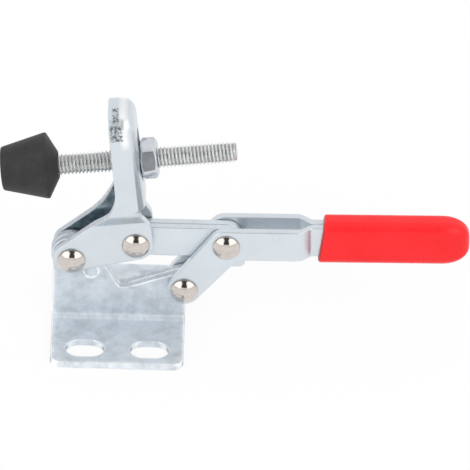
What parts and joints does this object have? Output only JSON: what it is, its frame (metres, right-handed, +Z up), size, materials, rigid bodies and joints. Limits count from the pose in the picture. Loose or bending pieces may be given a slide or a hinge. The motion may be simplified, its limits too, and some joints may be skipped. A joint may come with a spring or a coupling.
{
  "type": "toggle clamp",
  "caption": "Small horizontal-bar toggle clamp standing open: steel base, linked arm and handle, red grip, and a threaded spindle with a black rubber cap.",
  "frame": {"origin": "middle of the base's underside, between its four slots", "axes": "+X from the rubber cap towards the hand grip, +Y across the clamp away from the front plate, +Z up"},
  "size_m": [0.1286, 0.0466, 0.0721],
  "materials": {
    "zinc_base": "bright zinc plating, satin and slightly mottled",
    "zinc_arm": "bright zinc plating, smooth satin",
    "zinc_link": "bright zinc plating, smooth satin",
    "zinc_handle": "bright zinc plating, smooth satin",
    "zinc_thread": "zinc-plated rolled thread",
    "zinc_nut": "zinc-plated, bright edges",
    "rivet": "polished nickel plating",
    "rubber_cap": "matt moulded rubber",
    "grip": "glossy dipped vinyl"
  },
  "bodies": {
    "base": {"base_plate_front": "zinc_base", "base_plate_rear": "zinc_base", "rivet_arm_pivot": "rivet", "rivet_handle_pivot": "rivet"},
    "arm": {"clamp_arm": "zinc_arm", "spindle": "zinc_thread", "nut_outer": "zinc_nut", "nut_inner": "zinc_nut", "rubber_cap": "rubber_cap", "rivet_arm_link": "rivet"},
    "link": {"link_plate_front": "zinc_link", "link_plate_rear": "zinc_link"},
    "handle": {"handle_strip_front": "zinc_handle", "handle_strip_rear": "zinc_handle", "hand_grip": "grip", "rivet_handle_link": "rivet"}
  },
  "joints": [
    {"name": "handle_swing", "type": "hinge", "parent": "base", "child": "handle", "pos_m": [0.0178, 0, 0.0138], "axis": [0, -1, 0], "range_deg": [0, 87.9]},
    {"name": "arm_swing", "type": "hinge", "parent": "base", "child": "arm", "pos_m": [-0.0131, 0, 0.023], "axis": [0, -1, 0], "range_deg": [0, 80.93]},
    {"name": "link_swing", "type": "hinge", "parent": "handle", "child": "link", "pos_m": [0.02899, 0, 0.02869], "axis": [0, -1, 0], "range_deg": [-127.24, 0]}
  ],
  "couplings": [
    {"joint": "arm_swing", "follows": "handle_swing", "ratio": 0.9206},
    {"joint": "link_swing", "follows": "handle_swing", "ratio": -1.4474}
  ]
}
